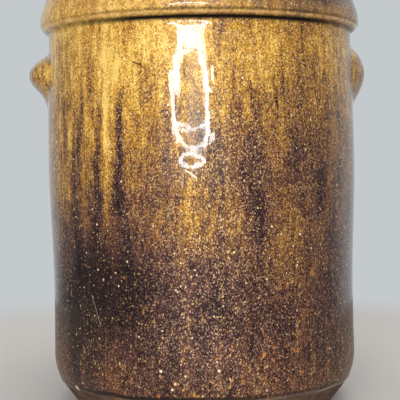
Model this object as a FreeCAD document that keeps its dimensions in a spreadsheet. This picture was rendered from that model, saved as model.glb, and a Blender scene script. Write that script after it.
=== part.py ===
import FreeCAD, Part
import Sketcher
import math
import os

# A stoneware pickling jar: a straight-sided pot, thrown or jiggered in one piece, with a heavy
# collar rim round its mouth and two small ears pressed on below the collar.
# Millimetres. +Z is up, the origin is the middle of the face that the jar stands on, and the ears
# are on the X axis, the more pinched one at -X (left) and the flatter one at +X (right).

NODE = "jar"

SIZES = {
    # foot: a flat base, then an unglazed bevel up to the heel
    "foot_radius": 70.4,
    "bevel_top_radius": 80.0,
    "bevel_top_height": 13.6,
    # wall: a round heel, a faint waist, a long shallow belly and a neck that draws in
    "hip_radius": 84.6,
    "hip_height": 29.5,
    "waist_radius": 84.1,
    "waist_height": 78.0,
    "belly_bend": 934.0,
    "shoulder_radius": 84.9,
    "shoulder_height": 160.0,
    "neck_radius": 83.4,
    # collar: a rolled lower edge, a face that bends over to its lean, and a round crest
    "collar_radius": 88.0,
    "collar_widest_height": 211.0,
    "collar_round": 5.5,
    "collar_face_bend": 17.0,
    "collar_lean": 18.5,
    "crest_round": 4.4,
    "jar_height": 231.0,
    # inside
    "floor_height": 10.0,
    "cove_round": 16.0,
    "inside_radius": 75.6,
    "mouth_start_height": 198.0,
    "mouth_end_height": 214.0,
    # ears: each a lens turned about an upright axis inside the wall
    "ear_axis_offset": 60.0,
    "ear_buried": 5.0,
    "left_ear_height": 182.5,
    "left_ear_reach": 12.4,
    "left_ear_round": 6.5,
    "left_ear_upright": 3.0,
    "left_ear_upper_slope": 50.0,
    "left_ear_lower_slope": 36.0,
    "left_ear_root_round": 5.0,
    "right_ear_height": 184.5,
    "right_ear_reach": 9.6,
    "right_ear_round": 12.8,
    "right_ear_upright": 4.2,
    "right_ear_upper_slope": 42.0,
    "right_ear_lower_slope": 28.0,
    "right_ear_root_round": 3.0,
}
COVE_STEPS = 3


class Length:
    """A number together with the sheet formula that gives it, so that sketches stay driven."""

    def __init__(self, value, formula):
        self.value = value
        self.formula = formula

    def _join(self, other, sign, result):
        if not isinstance(other, Length):
            other = Length(other, str(other))
        return Length(result(self.value, other.value), f"({self.formula} {sign} {other.formula})")

    def __add__(self, other):
        return self._join(other, "+", lambda a, b: a + b)

    def __sub__(self, other):
        return self._join(other, "-", lambda a, b: a - b)

    def __mul__(self, other):
        return self._join(other, "*", lambda a, b: a * b)

    def __truediv__(self, other):
        return self._join(other, "/", lambda a, b: a / b)


def size(name):
    return Length(SIZES[name], "Sizes." + name)


def cosine(angle):
    return Length(math.cos(math.radians(angle.value)), f"cos({angle.formula})")


def sine(angle):
    return Length(math.sin(math.radians(angle.value)), f"sin({angle.formula})")


def root(square):
    return Length(math.sqrt(square.value), f"sqrt({square.formula})")


ZERO = Length(0.0, "0")


def make_sheet(doc):
    sheet = doc.addObject("Spreadsheet::Sheet", "Sizes")
    for row, (name, value) in enumerate(SIZES.items(), start=1):
        sheet.set(f"A{row}", name)
        sheet.set(f"B{row}", str(value))
        sheet.setAlias(f"B{row}", name)
    doc.recompute()
    return sheet


class Outline:
    """A closed outline in a sketch: corners held at sheet sizes, joined by lines and arcs."""

    def __init__(self, body, name, plane, turned=False):
        self.sketch = body.newObject("Sketcher::SketchObject", name)
        planes = {feature.Role: feature for feature in body.Origin.OriginFeatures}
        self.sketch.AttachmentSupport = [(planes[plane], "")]
        self.sketch.MapMode = "FlatFace"
        if turned:
            half_turn = FreeCAD.Rotation(FreeCAD.Vector(0, 1, 0), 180)
            self.sketch.AttachmentOffset = FreeCAD.Placement(FreeCAD.Vector(), half_turn)
        self.corners = []
        self.joins = []

    def corner(self, across, up):
        self.corners.append((across, up))
        self.joins.append(None)

    def arc(self, radius, centre_on_left):
        """The stretch that leaves the last corner is an arc, its centre left or right of the way."""
        self.joins[-1] = (radius, centre_on_left)

    def axis(self, across, length):
        """A construction line, upright at the given distance, for a revolution to turn about."""
        foot = FreeCAD.Vector(across.value, 0, 0)
        index = self.sketch.addGeometry(Part.LineSegment(foot, foot + FreeCAD.Vector(0, length, 0)), True)
        self.sketch.addConstraint(Sketcher.Constraint("Vertical", index))
        self.sketch.addConstraint(Sketcher.Constraint("PointOnObject", index, 1, -1))
        self._bind("DistanceY", (index, 1, index, 2), Length(length, str(length)), "axis_length")
        self._bind("DistanceX", (-1, 1, index, 1), across, "axis_offset")

    def _bind(self, kind, ends, length, name):
        index = self.sketch.addConstraint(Sketcher.Constraint(kind, *ends, length.value))
        self.sketch.renameConstraint(index, name)
        self.sketch.setExpression("Constraints." + name, length.formula)

    def _arc_geometry(self, start, end, radius, centre_on_left):
        chord = end - start
        rise = math.sqrt(radius**2 - (chord.Length / 2) ** 2)
        left = FreeCAD.Vector(-chord.y, chord.x, 0).normalize()
        centre = (start + end) / 2 + left * (rise if centre_on_left else -rise)
        first, last = (start, end) if centre_on_left else (end, start)
        angles = [math.atan2(point.y - centre.y, point.x - centre.x) for point in (first, last)]
        if angles[1] < angles[0]:
            angles[1] += 2 * math.pi
        circle = Part.Circle(centre, FreeCAD.Vector(0, 0, 1), radius)
        return Part.ArcOfCircle(circle, *angles)

    def close(self):
        """Draws every stretch, holds its ends, and returns the finished sketch."""
        points = [FreeCAD.Vector(across.value, up.value, 0) for across, up in self.corners]
        ends = []
        for start, end, join in zip(points, points[1:] + points[:1], self.joins):
            if join is None:
                index = self.sketch.addGeometry(Part.LineSegment(start, end))
                ends.append((index, 1, 2))
                continue
            radius, centre_on_left = join
            index = self.sketch.addGeometry(self._arc_geometry(start, end, radius.value, centre_on_left))
            ends.append((index, 1, 2) if centre_on_left else (index, 2, 1))
            self._bind("Radius", (index,), radius, f"round_{index}")
        for (index, first, last), (following, start, _) in zip(ends, ends[1:] + ends[:1]):
            self.sketch.addConstraint(Sketcher.Constraint("Coincident", index, last, following, start))
        for (index, first, last), (across, up) in zip(ends, self.corners):
            if across is ZERO:
                self.sketch.addConstraint(Sketcher.Constraint("PointOnObject", index, first, -2))
            else:
                self._bind("DistanceX", (-1, 1, index, first), across, f"across_{index}")
            if up is ZERO:
                self.sketch.addConstraint(Sketcher.Constraint("PointOnObject", index, first, -1))
            else:
                self._bind("DistanceY", (-1, 1, index, first), up, f"up_{index}")
        return self.sketch


def sagitta_radius(depth, reach):
    """Radius of an arc that leaves an axis square to it and strays by depth over reach."""
    return (depth * depth + reach * reach) / (depth * 2)


def collar_points():
    """Where the collar's curves meet, from the wall under it to the inside of the mouth."""
    widest = (size("collar_radius"), size("collar_widest_height"))
    roll = size("collar_round")
    inset = size("neck_radius") - (widest[0] - roll)
    lean = size("collar_lean")
    bend = size("collar_face_bend")
    face_start = (widest[0] - bend + bend * cosine(lean), widest[1] + bend * sine(lean))
    crest = size("crest_round")
    crest_height = size("jar_height") - crest
    face_top = crest_height + crest * sine(lean)
    face_end = (face_start[0] - (face_top - face_start[1]) * sine(lean) / cosine(lean), face_top)
    crest_radius = face_end[0] - crest * cosine(lean)
    return {
        "root": (size("neck_radius"), widest[1] - root(roll * roll - inset * inset)),
        "widest": widest,
        "face_start": face_start,
        "face_end": face_end,
        "crest": (crest_radius, size("jar_height")),
        "mouth": (crest_radius - crest, crest_height),
    }


def draw_pot(body):
    """The outside of the whole pot, still solid: foot, bevel, heel, wall and collar."""
    collar = collar_points()
    hip = (size("hip_radius"), size("hip_height"))
    bevel_top = (size("bevel_top_radius"), size("bevel_top_height"))

    outline = Outline(body, "PotOutline", "YZ_Plane")
    outline.corner(ZERO, ZERO)
    outline.corner(size("foot_radius"), ZERO)
    outline.corner(*bevel_top)
    outline.arc(sagitta_radius(hip[0] - bevel_top[0], hip[1] - bevel_top[1]), centre_on_left=True)
    outline.corner(*hip)
    outline.corner(size("waist_radius"), size("waist_height"))
    outline.arc(size("belly_bend"), centre_on_left=True)
    outline.corner(size("shoulder_radius"), size("shoulder_height"))
    outline.corner(*collar["root"])
    outline.arc(size("collar_round"), centre_on_left=True)
    outline.corner(*collar["widest"])
    outline.arc(size("collar_face_bend"), centre_on_left=True)
    outline.corner(*collar["face_start"])
    outline.corner(*collar["face_end"])
    outline.arc(size("crest_round"), centre_on_left=True)
    outline.corner(*collar["crest"])
    outline.arc(size("crest_round"), centre_on_left=True)
    outline.corner(*collar["mouth"])
    outline.corner(ZERO, collar["mouth"][1])
    return outline.close()


def draw_ear(body, side, turned):
    """An ear's upright section: two straight flanks round a blunt nose, buried in the wall."""
    axis = size("ear_axis_offset")
    blunt = size(f"{side}_ear_round")
    nose_centre = size("neck_radius") + size(f"{side}_ear_reach") - blunt
    buried = size("neck_radius") - size("ear_buried")
    half_upright = size(f"{side}_ear_upright") / 2
    height = size(f"{side}_ear_height")
    upper = size(f"{side}_ear_upper_slope")
    lower = size(f"{side}_ear_lower_slope")

    upper_start = (nose_centre + blunt * cosine(upper), height + half_upright + blunt * sine(upper))
    lower_start = (nose_centre + blunt * cosine(lower), height - half_upright - blunt * sine(lower))
    top = upper_start[1] + (upper_start[0] - buried) * cosine(upper) / sine(upper)
    bottom = lower_start[1] - (lower_start[0] - buried) * cosine(lower) / sine(lower)

    outline = Outline(body, side.capitalize() + "EarOutline", "XZ_Plane", turned)
    outline.corner(axis, bottom)
    outline.corner(buried, bottom)
    outline.corner(*lower_start)
    outline.arc(blunt, centre_on_left=True)
    outline.corner(nose_centre + blunt, height - half_upright)
    outline.corner(nose_centre + blunt, height + half_upright)
    outline.arc(blunt, centre_on_left=True)
    outline.corner(*upper_start)
    outline.corner(buried, top)
    outline.corner(axis, top)
    outline.axis(axis, SIZES["jar_height"])
    return outline.close()


def draw_cavity(body):
    """The hollow: a flat floor, a cove and an upright wall that draws in at the mouth."""
    mouth = collar_points()["mouth"]
    cove = size("cove_round")
    inside = size("inside_radius")
    floor = size("floor_height")

    outline = Outline(body, "CavityOutline", "YZ_Plane")
    outline.corner(ZERO, floor)
    for step in range(COVE_STEPS + 1):
        angle = Length(90 * step / COVE_STEPS, str(90 * step / COVE_STEPS))
        across = inside - cove + cove * sine(angle)
        outline.corner(across, floor + cove - cove * cosine(angle))
    outline.corner(inside, size("mouth_start_height"))
    outline.corner(mouth[0], size("mouth_end_height"))
    outline.corner(*mouth)
    outline.corner(ZERO, mouth[1])
    return outline.close()


def turn(body, kind, name, sketch, axis):
    feature = body.newObject(kind, name)
    feature.Profile = sketch
    feature.ReferenceAxis = (sketch, [axis])
    feature.Angle = 360
    body.Document.recompute()
    return feature


def is_ear_root(edge, side):
    """Where an ear leaves the wall: on the wall, beside that ear, and not a ring round the pot."""
    point = edge.valueAt((edge.FirstParameter + edge.LastParameter) / 2)
    beside_ear = (point.x if side == "right" else -point.x) > abs(point.y)
    on_wall = math.hypot(point.x, point.y) < SIZES["shoulder_radius"]
    return beside_ear and on_wall and SIZES["shoulder_height"] < point.z < collar_points()["root"][1].value


def build_jar(doc):
    body = doc.addObject("PartDesign::Body", "Jar")
    body.Label = NODE
    pot = turn(body, "PartDesign::Revolution", "Pot", draw_pot(body), "V_Axis")
    turn(body, "PartDesign::Revolution", "LeftEar", draw_ear(body, "left", True), "Axis0")
    ears = turn(body, "PartDesign::Revolution", "RightEar", draw_ear(body, "right", False), "Axis0")
    if ears.Shape.Volume <= pot.Shape.Volume:
        raise RuntimeError("the ears add nothing to the pot")

    roots = ears
    for side in ("left", "right"):
        edges = [f"Edge{n}" for n, edge in enumerate(roots.Shape.Edges, start=1) if is_ear_root(edge, side)]
        softened = body.newObject("PartDesign::Fillet", side.capitalize() + "EarRoot")
        softened.Base = (roots, edges)
        softened.setExpression("Radius", f"Sizes.{side}_ear_root_round")
        doc.recompute()
        roots = softened

    cavity = turn(body, "PartDesign::Groove", "Cavity", draw_cavity(body), "V_Axis")
    if cavity.Shape.Volume > roots.Shape.Volume / 2:
        raise RuntimeError("the cavity doesn't hollow the pot")
    body.Placement = FreeCAD.Placement()
    return body


def check(doc, body):
    for item in doc.Objects:
        if {"Invalid", "Error"} & set(item.State):
            raise RuntimeError(f"{item.Name} failed: {item.State}")
    if body.Shape.isNull() or not body.Shape.isValid():
        raise RuntimeError(f"{body.Label} has no valid shape")
    if len(body.Shape.Solids) != 1:
        raise RuntimeError(f"{body.Label} isn't one solid")


def main():
    doc = FreeCAD.newDocument("PicklingJar")
    make_sheet(doc)
    body = build_jar(doc)
    doc.recompute()
    check(doc, body)
    os.makedirs("parts", exist_ok=True)
    body.Shape.exportStep(f"parts/{body.Label}.step")
    mouth_radius = collar_points()["mouth"][0].value
    print(f"{body.Label}: {body.Shape.Volume / 1000:.0f} cubic cm of clay, mouth {2 * mouth_radius:.1f} mm across")


main()
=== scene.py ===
import math

import bpy
import numpy as np
from mathutils import Matrix, Vector


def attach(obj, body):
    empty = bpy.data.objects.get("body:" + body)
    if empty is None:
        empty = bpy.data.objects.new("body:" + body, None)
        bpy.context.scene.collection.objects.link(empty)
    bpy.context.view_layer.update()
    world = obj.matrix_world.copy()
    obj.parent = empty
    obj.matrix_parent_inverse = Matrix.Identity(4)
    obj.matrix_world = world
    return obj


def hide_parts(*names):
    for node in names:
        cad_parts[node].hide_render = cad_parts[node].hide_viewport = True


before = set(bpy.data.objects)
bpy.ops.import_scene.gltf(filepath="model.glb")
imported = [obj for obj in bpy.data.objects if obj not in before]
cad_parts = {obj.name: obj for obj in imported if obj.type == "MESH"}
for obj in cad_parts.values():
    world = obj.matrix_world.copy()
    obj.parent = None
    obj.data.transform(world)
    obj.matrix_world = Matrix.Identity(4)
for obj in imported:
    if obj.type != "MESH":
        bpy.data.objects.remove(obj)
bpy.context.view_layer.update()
print("frame loaded:", sorted(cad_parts))


# helpers for the node trees

class Flow:
    # one value on its way through a node tree, so that sums read as sums
    def __init__(self, tree, socket):
        self.tree = tree
        self.socket = socket

    def calc(self, operation, *others):
        made = self.tree.nodes.new("ShaderNodeMath")
        made.operation = operation
        for place, value in enumerate((self,) + others):
            feed(self.tree, made.inputs[place], value)
        return Flow(self.tree, made.outputs[0])

    def __add__(self, other):
        return self.calc("ADD", other)

    def __sub__(self, other):
        return self.calc("SUBTRACT", other)

    def __mul__(self, other):
        return self.calc("MULTIPLY", other)

    def __truediv__(self, other):
        return self.calc("DIVIDE", other)

    __radd__ = __add__
    __rmul__ = __mul__

    def __rsub__(self, start):
        return self.calc("MULTIPLY", -1.0) + start

    def __rtruediv__(self, top):
        return self.calc("POWER", -1.0) * top

    def ramp(self, low, high, outLow=0.0, outHigh=1.0, smooth=True):
        made = self.tree.nodes.new("ShaderNodeMapRange")
        made.interpolation_type = "SMOOTHSTEP" if smooth else "LINEAR"
        for place, value in enumerate((self, low, high, outLow, outHigh)):
            feed(self.tree, made.inputs[place], value)
        return Flow(self.tree, made.outputs[0])

    def line(self, slope, start):
        return self * slope + start

    def clamped(self):
        return self.calc("MAXIMUM", 0.0).calc("MINIMUM", 1.0)

    def hill(self, centre, halfWidth):
        # 1 at the centre, fading to 0 at halfWidth on either side
        return (self - centre).calc("ABSOLUTE").ramp(0.0, halfWidth, 1.0, 0.0)


def feed(tree, socket, value):
    if isinstance(value, Flow):
        value = value.socket
    if isinstance(value, bpy.types.NodeSocket):
        tree.links.new(value, socket)
    else:
        socket.default_value = value


def feedAll(tree, node, inputs):
    for name, value in inputs.items():
        feed(tree, node.inputs[name], value)


def addNode(tree, kind, inputs=None, **settings):
    made = tree.nodes.new(kind)
    for name, value in settings.items():
        setattr(made, name, value)
    feedAll(tree, made, inputs or {})
    return made


def flowOf(tree, kind, output=0, inputs=None, **settings):
    return Flow(tree, addNode(tree, kind, inputs, **settings).outputs[output])


def splitXyz(tree, vector):
    made = addNode(tree, "ShaderNodeSeparateXYZ", {0: vector})
    return [Flow(tree, made.outputs[axis]) for axis in range(3)]


def joinXyz(tree, x, y, z):
    return flowOf(tree, "ShaderNodeCombineXYZ", 0, {0: x, 1: y, 2: z})


def lengthOf(x, y):
    return (x * x + y * y).calc("SQRT")


def noiseOn(tree, vector, size, detail, roughness, seed):
    # size is the width of one blotch in metres
    inputs = {"Vector": vector, "W": seed, "Scale": 1.0 / size, "Detail": detail, "Roughness": roughness}
    return flowOf(tree, "ShaderNodeTexNoise", 0, inputs, noise_dimensions="4D")


def newModifierTree(name, sizes):
    tree = bpy.data.node_groups.new(name, "GeometryNodeTree")
    tree.interface.new_socket("Geometry", in_out="INPUT", socket_type="NodeSocketGeometry")
    for label, value in sizes.items():
        kind = "NodeSocketInt" if isinstance(value, int) else "NodeSocketFloat"
        tree.interface.new_socket(label, in_out="INPUT", socket_type=kind)
    tree.interface.new_socket("Geometry", in_out="OUTPUT", socket_type="NodeSocketGeometry")
    source = tree.nodes.new("NodeGroupInput")
    flows = {label: Flow(tree, source.outputs[label]) for label in sizes}
    return tree, source.outputs["Geometry"], flows


def finishTree(tree, geometry, material):
    realized = addNode(tree, "GeometryNodeRealizeInstances", {0: geometry})
    dressed = addNode(tree, "GeometryNodeSetMaterial", {0: realized.outputs[0], "Material": material})
    output = tree.nodes.new("NodeGroupOutput")
    tree.links.new(dressed.outputs[0], output.inputs[0])


def newObject(name, data):
    made = bpy.data.objects.new(name, data)
    bpy.context.scene.collection.objects.link(made)
    return made


def growPiece(name, base, tree, sizes):
    # runs the tree on the base and keeps what comes out as a plain mesh
    modifier = base.modifiers.new("grow", "NODES")
    modifier.node_group = tree
    for item in tree.interface.items_tree:
        if item.in_out == "INPUT" and item.name in sizes:
            modifier[item.identifier] = sizes[item.name]
    bpy.context.view_layer.update()
    evaluated = base.evaluated_get(bpy.context.evaluated_depsgraph_get())
    mesh = bpy.data.meshes.new_from_object(evaluated)
    base.modifiers.remove(modifier)
    mesh.name = name
    return newObject(name, mesh)


def meshObject(name, points, edges=(), faces=()):
    mesh = bpy.data.meshes.new(name)
    mesh.from_pydata([tuple(point) for point in points], list(edges), list(faces))
    return newObject(name, mesh)


# the pot's outline, foot to floor

pot = {
    "footRadius": 0.0704,
    "footEdge": (0.001, 0.0004),  # the foot's edge is broken by this much inwards and upwards
    "bevelTop": (0.0800, 0.0136),
    "knee": 0.46,  # how far up between bevel and hip the wall turns upright
    "hip": (0.0846, 0.0295),
    "waist": (0.0841, 0.0780),
    "belly": (0.0854, 0.1280),
    "shoulder": (0.0849, 0.1600),
    "neck": (0.08345, 0.2050),
    "neckRound": 0.0140,  # glaze gathered in the corner under the collar
    "neckRoundLow": 0.2018,
    "collarRadius": 0.0880,
    "collarHeight": 0.2110,
    "collarRound": 0.0055,
    "collarUnder": -74.0,  # the lower roll starts this far under, in degrees
    "collarFaceBend": 0.0170,
    "collarLean": 18.5,
    "crestRound": 0.0044,
    "rimHeight": 0.2310,
    "mouthLow": 0.2140,
    "insideTop": 0.1980,
    "insideRadius": 0.0756,
    "floorHeight": 0.0100,
    "coveRound": 0.0160,
    "nearest": 1e-5,  # points closer together than this are one
}
wallKnots = [pot[name] for name in ("hip", "waist", "belly", "shoulder", "neck")]
# how many steps each stretch of the outline takes
potSteps = {"underside": 5, "bevel": 12, "knee": 14, "wall": 131, "roll": 15, "faceBend": 6, "face": 10,
            "crest": 12, "mouth": 4, "throat": 4, "inside": 24, "cove": 8, "floor": 6}


def arcPoints(centre, radius, start, end, count):
    angles = np.radians(np.linspace(start, end, count + 1))
    return [(centre[0] + radius * math.cos(a), centre[1] + radius * math.sin(a)) for a in angles]


def linePoints(start, end, count):
    steps = np.linspace(0.0, 1.0, count + 1)
    return [(start[0] + (end[0] - start[0]) * s, start[1] + (end[1] - start[1]) * s) for s in steps]


def smoothRadius(knots, heights):
    # natural cubic through the knots, so that the wall has no kinks
    radii = np.array([knot[0] for knot in knots])
    levels = np.array([knot[1] for knot in knots])
    gaps = np.diff(levels)
    count = len(knots)
    system = np.zeros((count, count))
    right = np.zeros(count)
    system[0, 0] = system[-1, -1] = 1.0
    for k in range(1, count - 1):
        system[k, k - 1:k + 2] = gaps[k - 1], 2 * (gaps[k - 1] + gaps[k]), gaps[k]
        right[k] = 6 * ((radii[k + 1] - radii[k]) / gaps[k] - (radii[k] - radii[k - 1]) / gaps[k - 1])
    bends = np.linalg.solve(system, right)
    span = np.clip(np.searchsorted(levels, heights) - 1, 0, count - 2)
    gap = gaps[span]
    below = heights - levels[span]
    above = levels[span + 1] - heights
    return (bends[span] * above ** 3 + bends[span + 1] * below ** 3) / (6 * gap) \
        + (radii[span] / gap - bends[span] * gap / 6) * above \
        + (radii[span + 1] / gap - bends[span + 1] * gap / 6) * below


def potOutline():
    # (radius, height) from the middle of the underside round to the middle of the inside floor
    footIn, footUp = pot["footEdge"]
    (lowR, lowH), (hipR, hipH) = pot["bevelTop"], pot["hip"]
    kneeH = lowH + pot["knee"] * (hipH - lowH)
    knee = [((1 - s) ** 2 * lowR + (1 - (1 - s) ** 2) * hipR,
             (1 - s) ** 2 * lowH + 2 * s * (1 - s) * kneeH + s * s * hipH)
            for s in np.linspace(0.0, 1.0, potSteps["knee"])]
    heights = np.linspace(hipH, pot["neck"][1], potSteps["wall"])
    gathered = np.clip(heights - pot["neckRoundLow"], 0.0, None) ** 2 / (2 * pot["neckRound"])
    rollCentre = (pot["collarRadius"] - pot["collarRound"], pot["collarHeight"])
    lean = math.radians(pot["collarLean"])
    bendCentre = (pot["collarRadius"] - pot["collarFaceBend"], pot["collarHeight"])
    face = arcPoints(bendCentre, pot["collarFaceBend"], 0.0, pot["collarLean"], potSteps["faceBend"])
    crestHeight = pot["rimHeight"] - pot["crestRound"]
    faceRise = crestHeight + pot["crestRound"] * math.sin(lean) - face[-1][1]
    crestRadius = face[-1][0] - faceRise * math.tan(lean) - pot["crestRound"] * math.cos(lean)
    crestCentre = (crestRadius, crestHeight)
    crest = arcPoints(crestCentre, pot["crestRound"], pot["collarLean"], 180.0, potSteps["crest"])
    mouth = linePoints(crest[-1], (crest[-1][0], pot["mouthLow"]), potSteps["mouth"])
    throat = linePoints(mouth[-1], (pot["insideRadius"], pot["insideTop"]), potSteps["throat"])
    coveCentre = (pot["insideRadius"] - pot["coveRound"], pot["floorHeight"] + pot["coveRound"])
    cove = arcPoints(coveCentre, pot["coveRound"], 0.0, -90.0, potSteps["cove"])
    parts = [
        linePoints((0.0, 0.0), (pot["footRadius"] - footIn, 0.0), potSteps["underside"]),
        linePoints((pot["footRadius"], footUp), pot["bevelTop"], potSteps["bevel"]),
        knee,
        zip(smoothRadius(wallKnots, heights) + gathered, heights),
        arcPoints(rollCentre, pot["collarRound"], pot["collarUnder"], 0.0, potSteps["roll"]),
        face, linePoints(face[-1], crest[0], potSteps["face"]), crest,
        mouth, throat, linePoints(throat[-1], cove[0], potSteps["inside"]), cove,
        linePoints(cove[-1], (0.0, pot["floorHeight"]), potSteps["floor"])]
    outline = []
    for part in parts:
        for point in part:
            if not outline or math.dist(outline[-1], point) > pot["nearest"]:
                outline.append(point)
    return np.array(outline)


outline = potOutline()
rimRow = int(np.argmax(outline[:, 1]))
print("outline rows:", len(outline))


# glaze and clay, with painted shade in the crease under the collar, a painted sheen on the collar's edges and
# painted glints on the crystals

def srgb(red, green, blue):
    # a colour as the eye reads it, in 0 to 255, made linear
    values = [channel / 255.0 for channel in (red, green, blue)]
    return tuple(v / 12.92 if v < 0.04045 else ((v + 0.055) / 1.055) ** 2.4 for v in values) + (1.0,)


glaze = {
    "roughness": 0.46,
    "rougher": 0.4,  # added on bare clay and in the painted shade of the crease under the collar
    "flake": 0.11,  # how much of the glaze glints like metal
    "ior": 1.42,
    "specular": 0.22,
    "coatRoughness": 0.03,
    "creaseShadeDulls": 0.9,  # how much of its gloss the glaze loses under the painted crease shade
    "tones": ((0.00, (20, 5, 10)), (0.14, (46, 20, 25)), (0.30, (84, 49, 44)), (0.48, (130, 82, 35)),
              (0.66, (174, 121, 36)), (0.84, (219, 165, 58)), (1.00, (246, 210, 114))),
    "darkGrain": (26, 14, 14),
    "goldGrain": (255, 206, 104),
    "paleGrain": (255, 232, 174),
    "roseGrain": (255, 204, 168),
    "chipColour": (224, 150, 68),
    # painted shade: near black in the crease under the collar, and a painted dark reflection in a thin band
    # above it
    "creaseShadeColour": (12, 7, 6),
    "rollColour": (24, 18, 22),  # glaze run down to the dip line
    # the pale bands on the collar's edges and the rim: glaze thinned over the edges, with a painted highlight
    # on the roll and a painted reflection of the pale floor along the collar's lower edge
    "lipThinAndSheenColour": (222, 176, 112),
    "bareClay": (112, 86, 68),
    "bareClayDark": (70, 52, 44),
    "lineColour": (168, 150, 134),
    # a firing hair, a scratch and a chip at the edge of the glaze: where each starts and ends, seen
    # from the front, then half width, strength and colour
    "marks": (((-0.0325, 0.1848, -0.0286, 0.1832), 0.00044, 0.95, (36, 20, 12)),
              ((-0.0560, 0.0697, -0.0513, 0.0541), 0.00022, 0.45, (190, 180, 170)),
              ((-0.0664, 0.0192, -0.0648, 0.0168), 0.00110, 0.90, (226, 206, 176))),
    "markCore": 0.4,  # this share of a mark's half width is solid
    # crystals in cells: width of a cell in metres
    "fineCell": 0.00050,
    "grainCell": 0.0011,
    "speckCell": 0.0026,
    "cellSquash": 0.8,
    # how strong each bump is, and how high
    "skinBump": (0.05, 0.0003),
    "gritBump": (0.5, 0.00012),
    "pimpleBump": (0.55, 0.00015),
}

# the glaze's layers: how much the height is squeezed, width of a blotch, detail, roughness and seed
glazeLayers = {
    "sway": (0.7, 0.040, 1.0, 0.5, 6.0),
    "wide": (0.060, 0.0090, 2.0, 0.5, 3.1),
    "narrow": (0.060, 0.0034, 2.0, 0.55, 5.1),
    "hairs": (0.12, 0.0014, 2.0, 0.6, 7.7),
    "cloud": (0.5, 0.012, 4.0, 0.62, 1.3),
    "sand": (0.6, 0.0008, 2.0, 0.7, 9.2),
    "mottle": (0.45, 0.0032, 3.0, 0.6, 3.3),
    "lipThinAndSheen": (0.3, 0.004, 3.0, 0.6, 5.0),
    "chips": (0.6, 0.0030, 3.0, 0.65, 8.8),
    "clay": (2.0, 0.006, 5.0, 0.65, 2.2),
    "peel": (1.0, 0.0042, 1.0, 0.4, 4.4),
}

# how much each layer counts; where there are two numbers, the second counts everywhere
glazeAmounts = {
    "sway": (0.016, 0.010),  # sideways and in depth
    "wide": (0.55, 0.42),
    "narrow": (0.85, 0.45),
    "hairs": 0.55,
    "cloud": 0.75,
    "mottle": 0.68,
    "sand": 0.70,
    "fineCells": 0.46,
    "gathered": 3.0,  # how strongly the crystals gather in the pale blotches
    "scattered": 0.20,
    "paintedGlints": 1.4,
    "paintedGlintsInGold": 0.75,
    "grainSize": (0.28, 0.10),
    "grains": (0.6, 0.50),
    "speckSize": (0.16, 0.04),
    "specks": 0.9,
    "edge": 0.8,
    "grit": 0.5,
}

# where each change starts and ends, and what comes out at either end when that isn't 0 and 1
glazeRamps = {
    "calmDark": (0.10, 0.50, 0.48, 1.0),  # the darkest and the palest glaze are calmer
    "calmPale": (0.62, 0.86, 1.0, 0.78),
    "lipThinAndSheen": (0.35, 0.6, 0.15, 0.9),
    "glint": (0.58, 1.0),
    "rose": (0.15, 0.42, 0.80, 0.0),
    "grainEdge": (-0.06, 0.08),
    "grainPick": (0.60, 0.90),
    "pitPick": (0.80, 0.90),
    "pitTone": (0.45, 0.75, 0.8, 0.50),
    "speckEdge": (-0.03, 0.05),
    "speckPick": (0.50, 0.85),
    "chips": (0.62, 0.70),
    "chipHeight": (0.025, 0.110, 0.80, 0.15),
    "roll": (0.15, 0.75),
    "rollSide": (-0.03, 0.06, 0.92, 0.60),
    "clay": (0.3, 0.7),
}


def mixColours(tree, amount, first, second):
    return addNode(tree, "ShaderNodeMix", {0: amount, 6: first, 7: second}, data_type="RGBA").outputs[2]


def colourRamp(tree, amount, stops):
    made = addNode(tree, "ShaderNodeValToRGB", {0: amount})
    ramp = made.color_ramp
    while len(ramp.elements) < len(stops):
        ramp.elements.new(0.5)
    for element, (place, colour) in zip(ramp.elements, stops):
        element.position = place
        element.color = srgb(*colour)
    return made.outputs[0]


def newMaterial(name):
    material = bpy.data.materials.new(name)
    material.use_nodes = True
    tree = material.node_tree
    tree.nodes.clear()
    shader = tree.nodes.new("ShaderNodeBsdfPrincipled")
    output = tree.nodes.new("ShaderNodeOutputMaterial")
    tree.links.new(shader.outputs[0], output.inputs[0])
    return material, tree, shader


def attributeFlow(tree, name):
    return flowOf(tree, "ShaderNodeAttribute", "Fac", attribute_name=name)


def nearLine(x, z, startX, startZ, endX, endZ):
    # how far off a short straight line the surface is
    runX, runZ = endX - startX, endZ - startZ
    share = ((x - startX) * runX + (z - startZ) * runZ) / (runX * runX + runZ * runZ)
    share = share.clamped()
    return lengthOf(x - startX - share * runX, z - startZ - share * runZ)


def layerOn(tree, name, x, y, z):
    squeeze, *looks = glazeLayers[name]
    return noiseOn(tree, joinXyz(tree, x, y, z * squeeze), *looks)


def cellsOn(tree, vector, size):
    # how far off the middle of its cell a place is, and three chance numbers of that cell
    made = addNode(tree, "ShaderNodeTexVoronoi", {"Vector": vector, "Scale": 1.0 / size})
    return Flow(tree, made.outputs["Distance"]), splitXyz(tree, made.outputs["Color"])


def bumpOn(tree, name, height):
    strength, distance = glaze[name]
    return addNode(tree, "ShaderNodeBump", {"Strength": strength, "Distance": distance, "Height": height})


def tintWith(tree, amount, colour, name):
    return mixColours(tree, amount, colour, srgb(*glaze[name]))


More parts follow.
